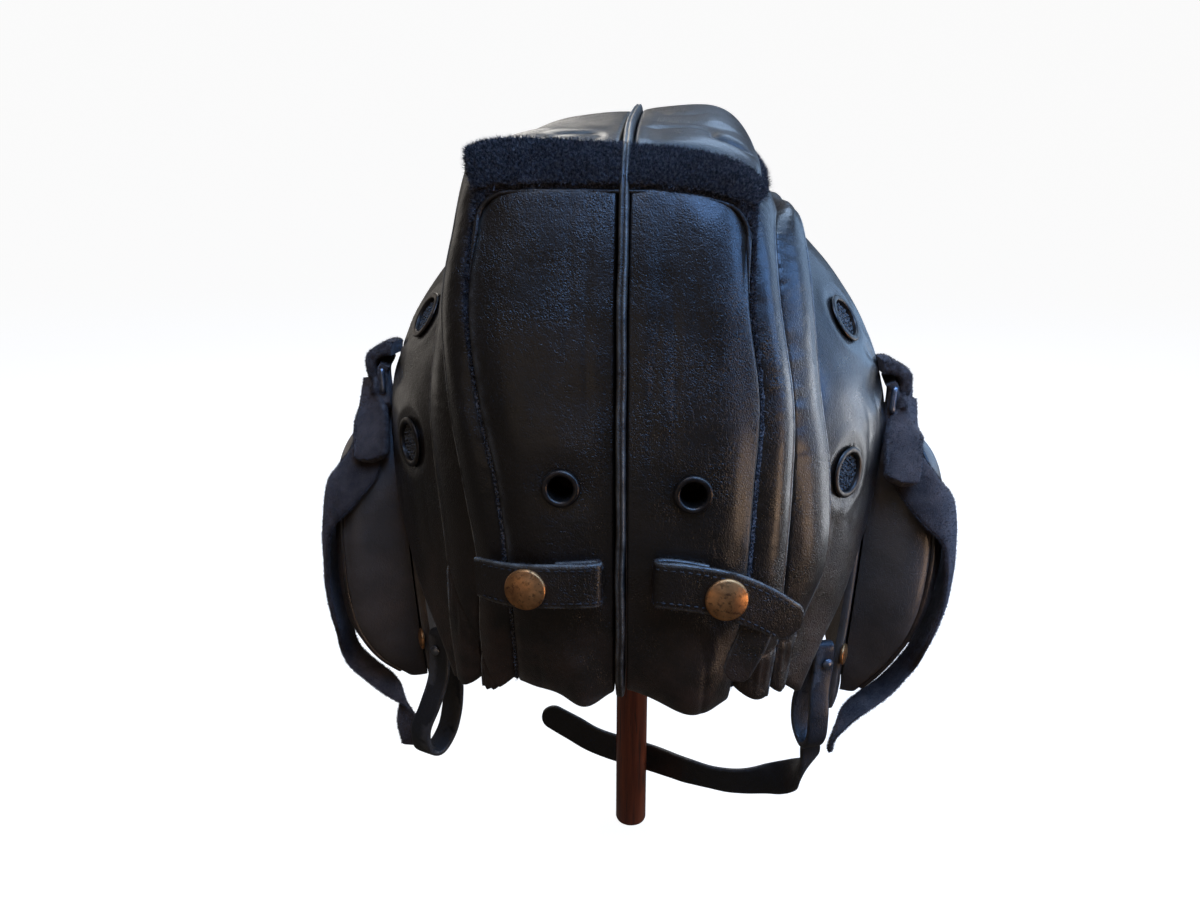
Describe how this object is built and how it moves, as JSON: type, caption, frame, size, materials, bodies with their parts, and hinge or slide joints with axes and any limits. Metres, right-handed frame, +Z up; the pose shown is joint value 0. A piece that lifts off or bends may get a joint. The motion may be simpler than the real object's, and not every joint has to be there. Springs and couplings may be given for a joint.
{
  "type": "leather tanker helmet on a stand post",
  "caption": "Padded black leather crew helmet with ridged crown, fleece band, vents, ear cups, snap tabs and chin strap, held up on a plain wooden post",
  "frame": {"origin": "the crown seat: the middle of the underside of the crown, where a head or the post's cap carries it", "axes": "+Z up, +Y the way the wearer looks, +X the wearer's right"},
  "size_m": [0.2729, 0.2332, 0.3296],
  "materials": {
    "black_leather": "smooth aged leather with fine grain and creases, half gloss",
    "black_fleece": "short dense black pile",
    "ear_leather": "thinner worn leather, dark grey brown",
    "suede": "matt napped suede",
    "strap_leather": "dull black strap leather with pale worn edges",
    "aged_brass": "brown patina with darker spots",
    "dark_metal": "blackened metal worn to brown on its edges",
    "mesh_cloth": "plain open weave of coarse threads",
    "stand_wood": "red brown varnished wood"
  },
  "bodies": {
    "root": {"back_panel_left": "black_leather", "back_panel_right": "black_leather", "nape_eyelet_left": "dark_metal", "nape_eyelet_right": "dark_metal", "fleece_band_left": "black_fleece", "fleece_band_right": "black_fleece", "top_panel_left": "black_leather", "top_panel_right": "black_leather", "centre_welt": "black_leather", "edge_fleece_left": "black_fleece", "edge_fleece_right": "black_fleece", "inner_ridge_left": "black_leather", "inner_ridge_right": "black_leather", "outer_ridge_left": "black_leather", "outer_ridge_right": "black_leather", "side_panel_left": "black_leather", "side_panel_right": "black_leather", "vent_ring_upper_left": "dark_metal", "vent_mesh_upper_left": "mesh_cloth", "vent_ring_lower_left": "dark_metal", "vent_mesh_lower_left": "mesh_cloth", "vent_ring_upper_right": "dark_metal", "vent_mesh_upper_right": "mesh_cloth", "vent_ring_lower_right": "dark_metal", "vent_mesh_lower_right": "mesh_cloth", "ear_flap_left": "ear_leather", "ear_flap_right": "ear_leather", "ear_cup_left": "ear_leather", "ear_cup_right": "ear_leather", "ear_strap_left": "suede", "ear_strap_right": "suede", "nape_tab_left": "black_leather", "nape_tab_right": "black_leather", "nape_under_strap": "black_leather", "strap_anchor_left": "suede", "strap_anchor_right": "suede", "strap_end_left": "suede", "strap_end_right": "suede", "chin_strap": "strap_leather", "snap_cap_left": "aged_brass", "snap_cap_right": "aged_brass", "ear_snap_left": "aged_brass", "ear_snap_right": "aged_brass", "strap_slide_left": "dark_metal", "strap_slide_right": "dark_metal", "bottom_loop_left": "strap_leather", "bottom_loop_right": "strap_leather", "stand_post": "stand_wood", "loop_rivet_left": "aged_brass", "loop_rivet_right": "aged_brass"}
  },
  "joints": []
}
